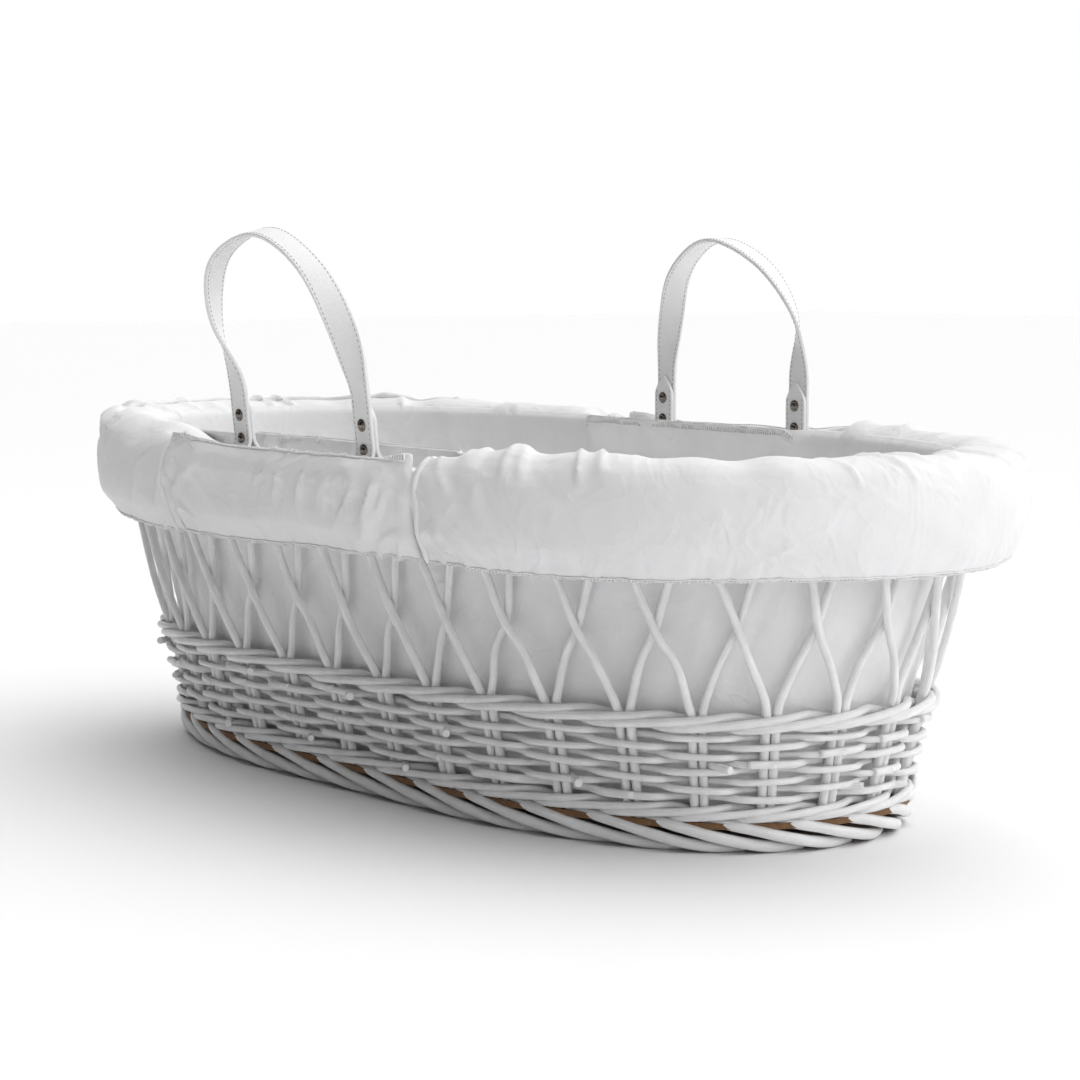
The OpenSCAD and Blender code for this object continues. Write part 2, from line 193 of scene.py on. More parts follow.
def sampleAlong(path, want, along):
    return np.stack([np.interp(want, along, column) for column in path.T], -1)


def lengthAlong(path):
    return np.concatenate([[0], np.cumsum(np.linalg.norm(np.diff(path, axis=0), axis=1))])


def unit(v):
    return v / np.maximum(np.linalg.norm(v, axis=-1, keepdims=True), 1e-12)


def makePiece(name, body, material, points, faces, uv=None, flatFaces=()):
    mesh = bpy.data.meshes.new(name)
    mesh.from_pydata(np.asarray(points, float).tolist(), [], faces)
    mesh.polygons.foreach_set("use_smooth", np.ones(len(mesh.polygons), bool))
    for index in flatFaces:
        mesh.polygons[index].use_smooth = False
    if uv is not None:
        layer = mesh.uv_layers.new(name="alongUV")
        layer.data.foreach_set("uv", np.asarray(uv, np.float32).ravel())
    mesh.update()
    piece = bpy.data.objects.new(name, mesh)
    bpy.context.scene.collection.objects.link(piece)
    mesh.materials.append(material)
    if body:
        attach(piece, body)
    return piece


def rodPiece(name, body, material, rods, sides=8, closed=False):
    # each rod is a circle carried along its path; the circle's first axis is kept towards `out`
    points, faces, uv, flat = [], [], [], []
    base = 0
    angle = 2 * math.pi * np.arange(sides) / sides
    for path, radius, out in rods:
        n = len(path)
        radius = np.broadcast_to(radius, n)
        out = np.broadcast_to(out, (n, 3))
        step = np.roll(path, -1, 0) - np.roll(path, 1, 0) if closed else np.gradient(path, axis=0)
        tangent = unit(step)
        first = unit(out - (out * tangent).sum(1, keepdims=True) * tangent)
        second = np.cross(tangent, first)
        ring = (np.cos(angle)[None, :, None] * first[:, None]
                + np.sin(angle)[None, :, None] * second[:, None]) * radius[:, None, None]
        points.append((path[:, None] + ring).reshape(-1, 3))
        stretch = n if closed else n - 1
        i, j = np.meshgrid(np.arange(stretch), np.arange(sides), indexing="ij")
        i, j = i.ravel(), j.ravel()
        i2, j2 = (i + 1) % n, (j + 1) % sides
        quads = base + np.stack([i * sides + j, i * sides + j2, i2 * sides + j2, i2 * sides + j], -1)
        along = lengthAlong(path)
        around = 2 * math.pi * radius.mean() / sides
        u0, u1 = j * around, (j + 1) * around
        v0, v1 = along[i], along[i] + along[1] - along[0]
        uv.append(np.stack([u0, v0, u1, v0, u1, v1, u0, v1], -1).ravel())
        count = sum(len(f) for f in faces)
        faces.append(quads.tolist())
        if not closed:
            faces.append([list(range(base + sides - 1, base - 1, -1)),
                          list(range(base + (n - 1) * sides, base + n * sides))])
            flat += [count + len(quads), count + len(quads) + 1]
            uv.append(np.zeros(4 * sides))
        base += n * sides
    allFaces = [f for group in faces for f in group]
    return makePiece(name, body, material, np.vstack(points), allFaces, np.concatenate(uv), flat)


def willowPiece(name, rods, sides=8, closed=False):
    return rodPiece(name, "basket", willow, rods, sides, closed)


def gridFaces(rows, columns, wrapColumns=False, wrapRows=False):
    i, j = np.meshgrid(np.arange(rows if wrapRows else rows - 1),
                       np.arange(columns if wrapColumns else columns - 1), indexing="ij")
    i, j = i.ravel(), j.ravel()
    i2, j2 = (i + 1) % rows, (j + 1) % columns
    return np.stack([i * columns + j, i2 * columns + j, i2 * columns + j2, i * columns + j2], -1).tolist()


def recalcFaces(piece):
    shape = bmesh.new()
    shape.from_mesh(piece.data)
    bmesh.ops.remove_doubles(shape, verts=shape.verts, dist=1e-6)
    bmesh.ops.recalc_face_normals(shape, faces=shape.faces)
    shape.to_mesh(piece.data)
    shape.free()


def tubePiece(name, material, grid):
    # rings of points joined into a tube, with one face over each end
    n, m = grid.shape[:2]
    faces = gridFaces(n, m, wrapColumns=True)
    faces += [list(range(m)), list(range(n * m - 1, (n - 1) * m - 1, -1))]
    piece = makePiece(name, None, material, grid.reshape(-1, 3), faces)
    recalcFaces(piece)
    return piece


def readVertices(mesh, what="co"):
    values = np.empty(len(mesh.vertices) * 3)
    mesh.vertices.foreach_get(what, values)
    return values.reshape(-1, 3)


def setPoints(piece, points):
    piece.data.vertices.foreach_set("co", points.ravel())
    piece.data.update()


def applyModifiers(piece):
    graph = bpy.context.evaluated_depsgraph_get()
    done = bpy.data.meshes.new_from_object(piece.evaluated_get(graph))
    old = piece.data
    piece.modifiers.clear()
    done.name = old.name
    piece.data = done
    done.polygons.foreach_set("use_smooth", np.ones(len(done.polygons), bool))
    done.update()


# ---- Materials ----

class Look:
    # a material's or a world's nodes, joined up as they are made
    def __init__(self, tree):
        self.nodes, self.links = tree.nodes, tree.links

    def add(self, kind, inputs=(), out=0, **settings):
        # a new node, whose inputs are constants or other nodes' outputs
        node = self.nodes.new("ShaderNode" + kind)
        for setting, value in settings.items():
            setattr(node, setting, value)
        for name, value in dict(inputs).items():
            if isinstance(value, bpy.types.NodeSocket):
                self.links.new(value, node.inputs[name])
            else:
                node.inputs[name].default_value = value
        return node.outputs[out]

    def noise(self, vector, scale, detail=4.0, roughness=0.55, twist=0.0):
        return self.add("TexNoise", {"Vector": vector, "Scale": scale, "Detail": detail,
                                     "Roughness": roughness, "Distortion": twist})

    def span(self, value, low, high, outLow, outHigh):
        return self.add("MapRange", {"Value": value, "From Min": low, "From Max": high,
                                     "To Min": outLow, "To Max": outHigh})

    def math(self, kind, a, b):
        return self.add("Math", {0: a, 1: b}, operation=kind)

    def mix(self, factor, a, b):
        a, b = ((*c, 1) if isinstance(c, tuple) else c for c in (a, b))
        return self.add("Mix", {"Factor": factor, "A": a, "B": b}, "Result", data_type="RGBA")

    def ramp(self, factor, *stops):
        colour = self.add("ValToRGB", {"Fac": factor})
        for element, (place, shade) in zip(colour.node.color_ramp.elements, stops):
            element.position = place
            element.color = (*shade, 1)
        return colour

    def surface(self, colour, roughness, **rest):
        shader = self.add("BsdfPrincipled", {"Base Color": colour, "Roughness": roughness,
                                             **{k.replace("_", " "): v for k, v in rest.items()}})
        output = self.nodes.new("ShaderNodeOutputMaterial")
        self.links.new(shader, output.inputs["Surface"])

    def bump(self, height, strength, distance):
        return self.add("Bump", {"Height": height, "Strength": strength, "Distance": distance})


def newMaterial(name):
    # an empty material, its Look and the piece's own coordinates
    material = bpy.data.materials.new(name)
    material.use_nodes = True
    material.node_tree.nodes.clear()
    look = Look(material.node_tree)
    return material, look, look.add("TexCoord", out="Object")


willowLook = {
    "paint": (0.93, 0.932, 0.94),
    "thinPaint": (0.80, 0.795, 0.79),
    "chip": (0.30, 0.20, 0.12),
    "roughness": (0.28, 0.46),
    "streakScale": 900.0,
    "bump": 0.35,
}


def willowMaterial():
    # white paint over willow: bark lines along the rod, thin patches, and small chips scattered at random
    material, look, place = newMaterial("paintedWillow")
    along = look.add("Mapping", {"Vector": look.add("UVMap", uv_map="alongUV"), "Scale": (1, 0.05, 1)})
    grain = look.noise(along, willowLook["streakScale"], 3.0)
    worn = look.math("MULTIPLY", grain, look.noise(place, 55.0))
    chips = look.span(look.noise(place, 420.0, 2.0, 0.7), 0.735, 0.76, 0.0, 0.6)
    paint = look.mix(look.span(worn, 0.16, 0.40, 1.0, 0.0), willowLook["paint"], willowLook["thinPaint"])
    height = look.math("SUBTRACT", grain, look.math("MULTIPLY", chips, 0.6))
    look.surface(look.mix(chips, paint, willowLook["chip"]),
                 look.span(grain, 0.3, 0.7, *willowLook["roughness"]),
                 Normal=look.bump(height, willowLook["bump"], 0.0004), Specular_IOR_Level=0.5)
    return material


cottonLook = {
    "colour": (0.86, 0.86, 0.87),
    "shade": (0.82, 0.818, 0.82),
    "threadPitch": 0.00055,
    "creases": ((17.0, 1.6, 0.55), (42.0, 1.0, 0.22)),
    "bump": 0.55,
}


def cottonMaterial(name, colour, shade, sheen):
    # plain-woven cotton: crossed sets of fine threads, slubs and small creases over soft mottling
    material, look, place = newMaterial(name)
    slub = look.noise(place, 600.0, 3.0, 0.6)
    waves = [look.add("TexWave", {"Vector": place, "Scale": 0.0314 / cottonLook["threadPitch"],
                                  "Distortion": 1.2, "Detail": 1.0, "Detail Scale": 3.0},
                      "Fac", bands_direction=direction) for direction in "XYZ"]
    woven = look.math("ADD", look.math("MAXIMUM", waves[0], waves[1]), waves[2])
    height = look.math("ADD", look.math("MULTIPLY", woven, 0.05), look.math("MULTIPLY", slub, 0.10))
    for scale, twist, size in cottonLook["creases"]:
        centred = look.math("SUBTRACT", look.noise(place, scale, 2.0, 0.5, twist), 0.5)
        ridge = look.math("ABSOLUTE", centred, 0.0)
        height = look.math("ADD", height, look.span(ridge, 0.0, 0.09, size, 0.0))
    look.surface(look.ramp(look.noise(place, 38.0, 5.0, 0.6), (0.3, shade), (0.7, colour)),
                 look.span(slub, 0.3, 0.7, 0.74, 0.92), Normal=look.bump(height, cottonLook["bump"], 0.001),
                 Sheen_Weight=sheen, Sheen_Roughness=0.5, Specular_IOR_Level=0.25)
    return material


strapLook = {
    "colour": (0.86, 0.86, 0.865),
    "pore": (0.74, 0.73, 0.72),
    "grainScale": 1150.0,
    "roughness": (0.33, 0.48),
}


def strapMaterial():
    # white coated leatherette: small pebbled grain, a little darker in its pores
    material, look, place = newMaterial("strapLeatherette")
    cells = look.add("TexVoronoi", {"Vector": place, "Scale": strapLook["grainScale"], "Randomness": 1.0},
                     "Distance", feature="SMOOTH_F1")
    pores = look.span(cells, 0.35, 0.75, 0.0, 0.5)
    look.surface(look.mix(pores, strapLook["colour"], strapLook["pore"]),
                 look.span(look.noise(place, 70.0, 3.0), 0.3, 0.7, *strapLook["roughness"]),
                 Normal=look.bump(look.math("SUBTRACT", 1.0, cells), 0.22, 0.0003))
    return material


def metalMaterial():
    # dark nickel: fine turned scratches and a light tarnish
    material, look, place = newMaterial("rivetNickel")
    tarnish = look.noise(place, 700.0)
    look.surface(look.ramp(tarnish, (0.3, (0.13, 0.105, 0.085)), (0.7, (0.26, 0.23, 0.20))),
                 look.span(tarnish, 0.3, 0.7, 0.16, 0.34),
                 Normal=look.bump(look.noise(place, 4200.0, 2.0), 0.12, 0.0001), Metallic=1.0)
    return material


def boardMaterial():
    # pressed hardboard: long brown fibres, with darker brown patches here and there
    material, look, place = newMaterial("hardboard")
    fibres = look.noise(place, 260.0, 6.0, 0.7)
    stain = look.span(look.noise(place, 22.0, 3.0), 0.35, 0.65, 0.0, 0.4)
    brown = look.ramp(fibres, (0.3, (0.12, 0.058, 0.020)), (0.7, (0.26, 0.135, 0.052)))
    look.surface(look.mix(stain, brown, (0.17, 0.09, 0.038)), look.span(fibres, 0.3, 0.7, 0.55, 0.8),
                 Normal=look.bump(fibres, 0.3, 0.0003))
    return material


willow = willowMaterial()
cotton = cottonMaterial("quiltedCotton", cottonLook["colour"], cottonLook["shade"], 0.12)
bedCotton = cottonMaterial("mattressCotton", (0.87, 0.865, 0.85), (0.82, 0.81, 0.79), 0.2)
thread = cottonMaterial("sewingThread", (0.88, 0.88, 0.88), (0.82, 0.82, 0.82), 0.3)
strapThread = cottonMaterial("strapThread", (0.50, 0.49, 0.48), (0.42, 0.41, 0.40), 0.1)
leatherette = strapMaterial()
nickel = metalMaterial()
hardboard = boardMaterial()
print("materials made")

# ---- Woven willow ----

weave = {
    "stakeD": 0.0060,
    "pairGap": 0.0086,
    "rowD": 0.0050,
    "rowPitch": 0.0058,
    "rows": 8,
    "rowLow": 0.0373,
    "waleD": 0.0054,
    "lowWale": 0.0270,
    "topWale": 0.0875,
    "weaveTop": 0.0939,
    "cross": 0.149,
    "rimWale": 0.2208,
    "sway": 0.0016,
    "seed": 7,
}
random = np.random.default_rng(weave["seed"])


def handWave(run, size, seed, count=5):
    # a few whole waves round the basket with random phases: the maker's own unevenness
    pick = np.random.default_rng(seed)
    total = np.zeros_like(np.asarray(run, float))
    for k in range(count):
        tall = pick.uniform(0.4, 1)
        total += tall * np.sin(2 * math.pi * (k + 2) * run / lapRun + pick.uniform(0, 6.28))
    return size * total / count


def weaveLift(run):
    return handWave(run, 0.0030, 3)


def stakeRod(run, lean):
    # up through the weave beside its twin, then over to the next pair, crossing its neighbour
    gap = weave["pairGap"] / 2
    top = weave["weaveTop"] + weaveLift(run)
    sway = random.normal(0, weave["sway"], 3)
    up = np.array([
        [gap, 0.0171, 0], [gap, 0.050, 0], [gap, top - 0.006, 0], [gap + 0.0004, top, 0.2],
        [gap + 0.0030, top + 0.010, 0.7], [gap + 0.0125 + sway[0], top + 0.032, 1],
        [pitch / 2 + sway[1], weave["cross"] + sway[1], 1], [pitch / 2 + 0.0125 + sway[2], 0.186, 0.8],
        [pitch - gap - 0.002, 0.213, 0.15], [pitch - gap, 0.2235, 0]])
    path = smoothThrough(up, 6)
    layer = (weave["stakeD"] / 2 + 0.0002) * np.clip(path[:, 2], 0, 1)
    s = run + lean * path[:, 0]
    points = onOval(s, wall(path[:, 1]) - lean * layer, path[:, 1])
    thick = weave["stakeD"] / 2 * (1 + random.uniform(-0.06, 0.10)) * np.linspace(1.03, 0.90, len(path))
    thick = np.minimum(thick, 0.0031)
    return points, thick, outwards(s)


for lean, name, node in ((-1, "leftLeaningStakes", "left_leaning_stakes"),
                         (1, "rightLeaningStakes", "right_leaning_stakes")):
    stakes = [stakeRod((i + 0.5) * pitch, lean) for i in range(oval["pairs"])]
    piece = willowPiece(name, stakes, 10)
    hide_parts(node)


def weaverRod(row, start, length, lift):
    # in front of one pair and behind the next, with butt and tip left showing
    run = np.arange(start, start + length, 0.0035)
    phase = math.pi * (run / pitch - 0.5 + row)
    reach = (weave["stakeD"] + weave["rowD"]) / 2
    swing = np.sin(phase + math.pi / 2)
    out = reach * np.tanh(2.0 * swing) / math.tanh(2.0)
    along = (run - start) / length
    thick = weave["rowD"] / 2 * (1.08 - 0.22 * along)
    z = weave["rowLow"] + row * weave["rowPitch"] + lift
    z = z + weaveLift(run) * (row + 2) / 10 + 0.0007 * np.sin(run * 31 + row * 1.7)
    z = z + handWave(run, 0.0012, 20 + row, 7)
    end = np.minimum(run - start, start + length - run)
    out = out + 0.0022 * (1 - ease(end, 0, 0.020))
    return onOval(run, wall(z) + out, z), thick, outwards(run)


for name, node, first in (("sidingOuterRows", "siding_outer_rows", 0),
                          ("sidingInnerRows", "siding_inner_rows", 1)):
    rods = []
    for row in range(first, weave["rows"], 2):
        # each row is three rods, and each starts at a pair that it passes in front of
        third = lapRun / 3
        start = pitch * (random.integers(0, oval["pairs"]) + 0.5)
        for part in range(3):
            pair = np.round((start + part * third) / pitch - 0.5 - row) // 2 * 2 + row + 0.5
            rods.append(weaverRod(row, (pair - 0.32) * pitch, third + pitch * 1.1, 0.0006 * (part - 1)))
    piece = willowPiece(name, rods)
    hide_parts(node)


def waleRod(centre, diameter, rise, laps=3):
    # one rod that goes round three times, in front of two pairs and behind one, climbing as it passes
    run = np.linspace(0, laps * lapRun, int(laps * lapRun / 0.0045), endpoint=False)
    phase = np.mod(np.mod(run / pitch - 0.5, 3) + 0.5, 3)
    reach = (weave["stakeD"] + diameter) / 2
    out = reach * np.tanh(1.6 * (0.4 + 1.25 * np.cos(2 * math.pi * (phase - 1) / 3)))
    out = out + 0.35 * diameter * np.exp(-((phase - 0.55) / 0.45) ** 2)
    front = phase < 2
    z = np.where(front, (phase - 1) * rise, (2.5 - phase) * 2 * rise)
    window = max(3, int(0.014 / 0.0045))
    z = np.convolve(np.pad(z, window, mode="wrap"), np.ones(window) / window, "same")[window:-window]
    height = centre + z + weaveLift(run) * np.clip((centre - 0.02) / 0.07, 0.1, 1)
    wobble = 0.0005 * np.sin(run * 23.0)
    thick = diameter / 2 * (1 + 0.07 * np.sin(run * 3.1))
    return onOval(run, wall(height) + out + wobble, height), thick, outwards(run)


for name, node, centre, diameter, rise in (
        ("lowerWale", "lower_wale", weave["lowWale"], weave["waleD"], 0.0042),
        ("topWale", "top_wale", weave["topWale"], weave["waleD"] + 0.0006, 0.0046),
        ("rimWale", "rim_wale", weave["rimWale"], 0.0045, 0.0016)):
    piece = willowPiece(name, [waleRod(centre, diameter, rise)], closed=True)
    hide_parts(node)


foot = {"rod": 0.0040, "span": 2.55, "top": 0.0210}


def footRod(index):
    # a stroke of the rope border: from under the wale, out over the board's edge, down and under
    t = np.linspace(0, 1, 44)
    run = (index - 0.35) * pitch + t * foot["span"] * pitch
    keys = np.array([[0, 0.0040, foot["top"]], [0.08, 0.0068, 0.0203], [0.25, 0.0088, 0.0170],
                     [0.45, 0.0084, 0.0113], [0.65, 0.0062, 0.0066], [0.82, 0.0015, 0.0040],
                     [1, -0.0035, 0.0031]])
    path = smoothThrough(keys, 8)
    out = np.interp(t, path[:, 0], path[:, 1])
    z = np.interp(t, path[:, 0], path[:, 2])
    thick = foot["rod"] * (1 - 0.25 * ease(t, 0.75, 1)) * (1 - 0.2 * (1 - ease(t, 0, 0.2)))
    thick = thick * random.uniform(0.93, 1.0)
    return onOval(run, wall(0) + out, np.maximum(z, thick)), thick, outwards(run)


footBorder = willowPiece("footBorder", [footRod(i) for i in range(oval["pairs"])], 10)
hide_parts("foot_border")

legs = {
    "gap": 0.152,
    "shift": 0.017,
    "width": 0.020,
    "ply": 0.003,
    "rivets": (0.0175, 0.0345),
    "fold": 0.055,
    "tip": 0.052,
    "rimGap": 0.0095,
}
legX = (legs["shift"] - legs["gap"] / 2, legs["shift"] + legs["gap"] / 2)


wrap = {"rods": 5, "rod": 0.0024, "out": 0.0090, "twist": 0.018}


def wrapRods():
    # rods wound round the rim hoop, left open where the straps pass
    rods = []
    edges = []
    for side in (1, -1):
        for x in sorted(legX, reverse=side > 0):
            reach = legs["width"] / 2 + 0.001
            edges.append(sorted((runAtX(x - reach, side), runAtX(x + reach, side))))
    edges.sort()
    for (a, b), (c, d) in zip(edges, edges[1:] + [[edges[0][0] + lapRun, edges[0][1] + lapRun]]):
        run = np.arange(b, c, 0.004)
        run = run + (c - run[-1]) * (run - b) / (run[-1] - b)
        for k in range(wrap["rods"]):
            angle = 2 * math.pi * k / wrap["rods"] - run / wrap["twist"]
            out = wrap["out"] * np.cos(angle)
            z = rimH + wrap["out"] * np.sin(angle)
            ring = outwards(run) * np.cos(angle)[:, None] + np.array([0, 0, 1]) * np.sin(angle)[:, None]
            rods.append((onOval(run, out, z), wrap["rod"], ring))
    return rods


rimWrap = willowPiece("rimWrap", wrapRods())
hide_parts("rim_wrap")


# cut ends as (place counted in pairs, height), each standing out of the weave
cut = {
    "rod": 0.0027,
    "length": (0.016, 0.026),
    "out": 0.0085,
    "places": ((0.5, 0.036), (3.5, 0.061), (6.5, 0.048), (9.5, 0.03), (12.5, 0.07), (15.5, 0.042),
               (19.5, 0.074), (20.5, 0.050), (22.5, 0.034), (23.5, 0.079), (24.5, 0.036),
               (25.5, 0.072), (26.5, 0.031), (27.5, 0.066), (29.5, 0.044), (31.5, 0.060),
               (33.5, 0.042)),
}


def cutEnds():
    rods = []
    for pairAt, z in cut["places"]:
        t = np.linspace(0, 1, 8)
        reach = random.uniform(*cut["length"])
        run = pairAt * pitch + 0.010 + t * reach * 0.8
        out = wall(z) + 0.001 + cut["out"] * t + 0.002 * t * t
        height = z + random.uniform(-0.003, 0.004) * t
        rods.append((onOval(run, out, height), cut["rod"] * random.uniform(0.85, 1.05), outwards(run)))
    return rods


willowPiece("cutRodEnds", cutEnds(), 10)
print("weave made")

# ---- Cloth ----

slots = {"nearFoot": 0.170, "nearHead": -0.116, "far": 0.134, "gap": 0.024}
cloth = {
    "pad": 0.006,
    "hem": 0.181,
    "hemOut": 0.018,
    "flapTop": 0.254,
    "voxel": 0.005,
    "swell": 0.006,
    "steps": 16,
}
padding = {
    "use_pressure": True,
    "uniform_pressure_force": 4.0,
    "quality": 5,
    "tension_stiffness": 12,
    "compression_stiffness": 12,
    "shear_stiffness": 6,
    "bending_stiffness": 0.4,
}
linerIn = 0.0097
linerLow = 0.02105
linerBend = 0.210


def hemLift(run):
    return handWave(run, 0.0065, 11, 6)


def headPull(run):
    # the head end is filled less and hangs closer to the stakes
    away = np.abs(np.mod(run, lapRun) - 2 * quarter)
    return -0.017 * (1 - ease(away, 0.10, 0.36))


def hemSway(run):
    return handWave(run, 0.0040, 12, 8) + headPull(run)


def hemShare(out, z):
    # 1 at the hem, fading out towards the rim
    return ease(0.245 - z, 0, 0.062) * ease(out, 0.004, 0.014)


def settle(points):
    # the hand-sewn hem's rise and fall
    run, out = unrollOval(points)
    low = hemShare(out, points[:, 2])
    push = (hemSway(run) - headPull(run)) * low + headPull(run) * ease(out, 0.002, 0.014)
    moved = points.copy()
    corner = headPull(run) * ease(points[:, 2], 0.242, 0.253) * ease(out, 0.002, 0.016)
    push = push - 0.55 * corner
    moved[:, 2] += hemLift(run) * low - 0.25 * corner
    return moved + outwards(run) * push[:, None], run, out


def swellCloth(piece, runStart, runEnd):
    # voxel remesh, then blow up the padding with a capped cloth simulation
    remesh = piece.modifiers.new("remesh", "REMESH")
    remesh.mode = "VOXEL"
    remesh.voxel_size = cloth["voxel"]
    remesh.use_smooth_shade = True
    applyModifiers(piece)
    before = readVertices(piece.data)
    sim = piece.modifiers.new("padding", "CLOTH")
    for name, value in padding.items():
        setattr(sim.settings, name, value)
    sim.settings.effector_weights.gravity = 0
    scene = bpy.context.scene
    for step in range(1, cloth["steps"] + 1):
        scene.frame_set(step)
    graph = bpy.context.evaluated_depsgraph_get()
    after = readVertices(piece.evaluated_get(graph).to_mesh())
    piece.evaluated_get(graph).to_mesh_clear()
    piece.modifiers.clear()
    scene.frame_set(1)
    move = after - before
    size = np.linalg.norm(move, axis=1, keepdims=True)
    move *= np.minimum(1, cloth["swell"] / np.maximum(size, 1e-9))
    run, out = unrollOval(before)
    hold = ease(before[:, 2], cloth["hem"] + 0.004, cloth["hem"] + 0.022) * ease(out, -0.016, 0.004)
    run = np.where(run < runStart - 0.1, run + lapRun, run)
    hold = hold * ease(np.minimum(run - runStart, runEnd - run), -0.002, 0.045)
    setPoints(piece, before + move * hold[:, None])
    sub = piece.modifiers.new("finer", "SUBSURF")
    sub.levels = sub.render_levels = 1
    applyModifiers(piece)


# each profile as (out from the rim's centre line, height) in mm, down the outside and back up inside
skirtOuter = np.array([(-20, 240.05), (-19.5, 249), (-13, 255), (-6, 257.5), (6, 257), (20, 254),
                       (27.5, 248), (31.5, 238), (32, 226), (30, 211), (25.5, 196), (18, 181)]) * mm
skirtInner = np.array([(13.5, 181), (18.5, 195), (22.5, 209), (24.5, 223), (24, 235), (20, 244),
                       (13, 248), (4, 250), (-5, 249.5), (-12, 245), (-13.2, 240.05)]) * mm
flapOuter = np.array([(28.5, 257), (31, 247), (32, 236), (31.5, 223), (29.5, 209), (25, 195),
                      (18, 181)]) * mm
flapInner = np.array([(13.5, 181), (19, 195), (23.5, 209), (25.5, 223), (25.5, 236), (25, 246),
                      (24, 257)]) * mm
skirtProfile, flapProfile = (
    np.vstack([evenly(smoothThrough(outer, 8), a), evenly(smoothThrough(inner, 8), b)])
    for outer, inner, a, b in ((skirtOuter, skirtInner, 40, 34), (flapOuter, flapInner, 26, 26)))

nearHeadRun = runAtX(slots["nearHead"], -1)
nearFootRun = runAtX(slots["nearFoot"], -1)
farHeadRun = runAtX(-slots["far"], 1)
farFootRun = runAtX(slots["far"], 1)


# each set of folds as (height, angle, length, spacing), and the share of the noise that makes a ridge
folds = {
    "soft": ((0.0013, 0.35, 0.16, 0.034), (0.0008, -0.6, 0.12, 0.020)),
    "fine": ((0.0019, 0.55, 0.060, 0.011, 0.16), (0.0014, -0.35, 0.045, 0.009, 0.14)),
    "fan": (0.0032, -0.75, 0.050, 0.012, 0.20),
    "drawn": (0.0030, 1.15, 0.040, 0.010, 0.22),
    "roof": (0.0022, 1.35, 0.10, 0.024),
    "roofRidge": (0.0030, 1.2, 0.06, 0.016, 0.2),
    "hem": (0.0009, 1.4, 0.03, 0.009, 0.3),
    "droop": 0.0075,
}


def ridges(u, v, fold, seed):
    # raised lines where the drawn-out noise crosses zero
    height, angle, long, short, width = fold
    return height * crisp(streaks(u, v, angle, long, short, seed), width)


def crease(piece, runStart, runEnd, seed, roof=1.0):
    # soft long folds everywhere, and short puckers fanning out from each sewn end
    points, run, out = settle(readVertices(piece.data))
    run = np.where(run < runStart - 0.1, run + lapRun, run)
    near = np.minimum(run - runStart, runEnd - run)
    droop = ease(points[:, 2], 0.238, 0.250) * (1 - ease(out, 0.008, 0.022))
    points[:, 2] -= folds["droop"] * roof * (1 - ease(near, 0.0, 0.040)) * droop
    setPoints(piece, points)
    normal = readVertices(piece.data, "normal")
    height = points[:, 2]
    face = ease(out, -0.012, 0.010)
    soft = sum(tall * streaks(run, height, angle, long, short, seed + k)
               for k, (tall, angle, long, short) in enumerate(folds["soft"]))
    patchy = ease(valueNoise(run / 0.055, height / 0.04, seed + 9), -0.15, 0.6)
    fine = (ridges(run, height, folds["fine"][0], seed + 2)
            + ridges(run, height, folds["fine"][1], seed + 6)) * patchy * (1 - 0.5 * roof)
    fan = ridges(near, height, folds["fan"], seed + 3) * (1 - ease(near, 0.020, 0.100))
    drawn = ridges(run, height, folds["drawn"], seed + 7) * (1 - 0.75 * roof)
    drawn = drawn * ease(height, 0.206, 0.228) * (1 - ease(height, 0.236, 0.247))
    drawn = drawn * ease(valueNoise(run / 0.05, height, seed + 8), -0.1, 0.5)
    pucker = (fan * ease(near, 0.001, 0.008) + drawn) * (1 - ease(height, 0.238, 0.249))
    tall, angle, long, short = folds["roof"]
    patchy = ease(valueNoise(run / 0.06, out, seed + 12), -0.2, 0.5)
    roofFolds = tall * streaks(run, out, angle, long, short, seed + 4)
    roofFolds = roofFolds + ridges(run, out, folds["roofRidge"], seed + 10) * patchy
    roofFolds = roof * roofFolds * ease(height, 0.236, 0.252)
    hemPull = ridges(run, height, folds["hem"], seed + 5) * (1 - ease(height, 0.188, 0.206))
    keep = ease(height, cloth["hem"] - 0.004, cloth["hem"] + 0.010)
    total = (soft + fine + pucker) * face * keep + roofFolds - hemPull
    setPoints(piece, points + normal * total[:, None])


sewn = (
    ("headSkirt", "head_skirt", farHeadRun, nearHeadRun, 40),
    ("footSkirt", "foot_skirt", nearFootRun, farFootRun + lapRun, 60),
    ("nearFlap", "near_flap", nearHeadRun + 0.0006, nearFootRun - 0.0006, 80),
    ("farFlap", "far_flap", farFootRun + 0.0006, farHeadRun - 0.0006, 90),
)
sewnCloth = []
for name, node, start, end, seed in sewn:
    isFlap = name.endswith("Flap")
    runs = np.linspace(start - 0.0015, end + 0.0015, int((end - start) / (0.005 if isFlap else 0.006)))
    out, z = (flapProfile if isFlap else skirtProfile).T
    piece = tubePiece(name, cotton, onOval(runs[:, None], out, z))
    swellCloth(piece, start, end)
    crease(piece, start, end, seed, 0.0 if isFlap else 1.0)
    sewnCloth.append(piece)
    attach(piece, "basket")
    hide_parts(node)
print("skirts and flaps made")


def slotShare(run):
    # 1 along a handle slot, 0 elsewhere, easing over at the slot's ends
    share = np.zeros_like(run)
    for start, end in ((nearHeadRun, nearFootRun), (farFootRun, farHeadRun)):
        rise = ease(run, start - 0.002, start + 0.022)
        share = np.maximum(share, rise * (1 - ease(run, end - 0.022, end + 0.002)))
    return share


